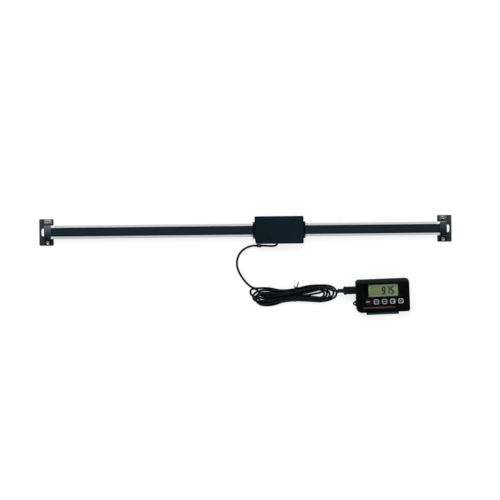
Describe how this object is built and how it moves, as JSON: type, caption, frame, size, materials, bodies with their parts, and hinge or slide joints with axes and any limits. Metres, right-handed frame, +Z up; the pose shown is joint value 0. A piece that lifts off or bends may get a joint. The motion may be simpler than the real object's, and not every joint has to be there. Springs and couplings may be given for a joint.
{
  "type": "digital linear scale",
  "caption": "Digital linear scale: slotted-bracket aluminium beam, sliding read head, and a small remote LCD display plugged in by a tied cord.",
  "frame": {"origin": "centre of the read head's flat mounting face, which lies on the bench", "axes": "+X along the beam towards its shorter free side, +Y across it on the side away from the cord, +Z up out of the head's mounting face towards the reader"},
  "size_m": [0.7653, 0.1851, 0.018],
  "materials": {
    "aluminium_extrusion": "satin anodised, drawn along its length",
    "grid_tape": "matt magnetic tape",
    "slate_cover": "satin slate paint",
    "bracket_black": "satin black paint",
    "saddle_black": "gloss black",
    "bright_steel": "bright turned steel",
    "spring_steel": "rolled spring steel",
    "black_plastic": "fine-grained moulded plastic",
    "head_slate": "satin slate black",
    "wiper_rubber": "matt rubber",
    "cord_jacket": "smooth satin cable jacket",
    "tie_wire": "plastic-coated wire",
    "plug_plastic": "satin moulded plastic",
    "acetal": "natural acetal",
    "circuit_board": "solder mask",
    "display_plastic": "fine-grained moulded plastic",
    "panel_black": "printed film",
    "clear_window": "clear polished window",
    "lcd_green": "reflective liquid crystal",
    "key_grey": "printed key",
    "key_red": "printed key",
    "brass_contact": "stamped contact"
  },
  "bodies": {
    "read_head": {"head_base": "aluminium_extrusion", "head_carriage": "black_plastic", "head_cover": "head_slate", "wiper_left": "wiper_rubber", "wiper_right": "wiper_rubber", "slide_strip": "acetal", "gib_strip": "acetal", "gib_spring": "spring_steel", "reader_board": "circuit_board", "reader_sensor": "black_plastic", "cover_screw_1": "bright_steel", "cover_screw_2": "bright_steel", "cover_screw_3": "bright_steel", "cover_screw_4": "bright_steel", "cable_gland": "wiper_rubber", "cable_clip": "saddle_black", "cable_lead": "cord_jacket", "cable_hank": "cord_jacket", "cable_tail": "cord_jacket", "hank_tie": "tie_wire", "plug_body": "plug_plastic", "plug_shell": "bright_steel"},
    "beam_body": {"beam": "aluminium_extrusion", "grid_strip": "grid_tape", "beam_cover_strip": "slate_cover", "left_bracket_plate": "bracket_black", "left_clamp_saddle": "saddle_black", "left_clamp_screw_upper": "bright_steel", "left_clamp_screw_lower": "bright_steel", "right_bracket_plate": "bracket_black", "right_clamp_saddle": "saddle_black", "right_clamp_screw_upper": "bright_steel", "right_clamp_screw_lower": "bright_steel"},
    "display": {"display_back_shell": "black_plastic", "display_front_shell": "display_plastic", "display_panel": "panel_black", "lcd_lens": "clear_window", "lcd_glass": "lcd_green", "lcd_holder": "acetal", "display_board": "circuit_board", "key_mat": "wiper_rubber", "usb_socket": "bright_steel", "coin_cell": "bright_steel", "cell_contact": "brass_contact", "magnet_left": "bright_steel", "magnet_right": "bright_steel", "shell_screw_1": "bright_steel", "shell_screw_2": "bright_steel", "shell_screw_3": "bright_steel", "shell_screw_4": "bright_steel", "stand_pin": "bright_steel"},
    "power_key": {"key_power": "key_red"},
    "units_key": {"key_units": "key_grey"},
    "zero_key": {"key_zero": "key_grey"},
    "hold_key": {"key_hold": "key_grey"},
    "set_key": {"key_set": "key_grey"},
    "door": {"battery_door": "black_plastic"},
    "stand": {"display_stand": "slate_cover"}
  },
  "joints": [
    {"name": "head_slide", "type": "slide", "parent": "read_head", "child": "beam_body", "axis": [1, 0, 0], "range_m": [-0.2447, 0.3692]},
    {"name": "plug_slide", "type": "slide", "parent": "read_head", "child": "display", "axis": [0.9995, 0.0314, 0], "range_m": [0, 0.012]},
    {"name": "power_press", "type": "slide", "parent": "display", "child": "power_key", "axis": [0, 0, -1], "range_m": [0, 0.0006], "stiffness_N_per_m": 300, "springref_m": -0.0005},
    {"name": "units_press", "type": "slide", "parent": "display", "child": "units_key", "axis": [0, 0, -1], "range_m": [0, 0.0006], "stiffness_N_per_m": 300, "springref_m": -0.0005},
    {"name": "zero_press", "type": "slide", "parent": "display", "child": "zero_key", "axis": [0, 0, -1], "range_m": [0, 0.0006], "stiffness_N_per_m": 300, "springref_m": -0.0005},
    {"name": "hold_press", "type": "slide", "parent": "display", "child": "hold_key", "axis": [0, 0, -1], "range_m": [0, 0.0006], "stiffness_N_per_m": 300, "springref_m": -0.0005},
    {"name": "set_press", "type": "slide", "parent": "display", "child": "set_key", "axis": [0, 0, -1], "range_m": [0, 0.0006], "stiffness_N_per_m": 300, "springref_m": -0.0005},
    {"name": "door_turn", "type": "hinge", "parent": "display", "child": "door", "pos_m": [0.19, -0.10711, 0.0013], "axis": [0, 0, 1], "range_deg": [0, 30]},
    {"name": "stand_hinge", "type": "hinge", "parent": "display", "child": "stand", "pos_m": [0.1915, -0.15493, 0.00405], "axis": [-0.9995, -0.0314, 0], "range_deg": [0, 100]}
  ]
}
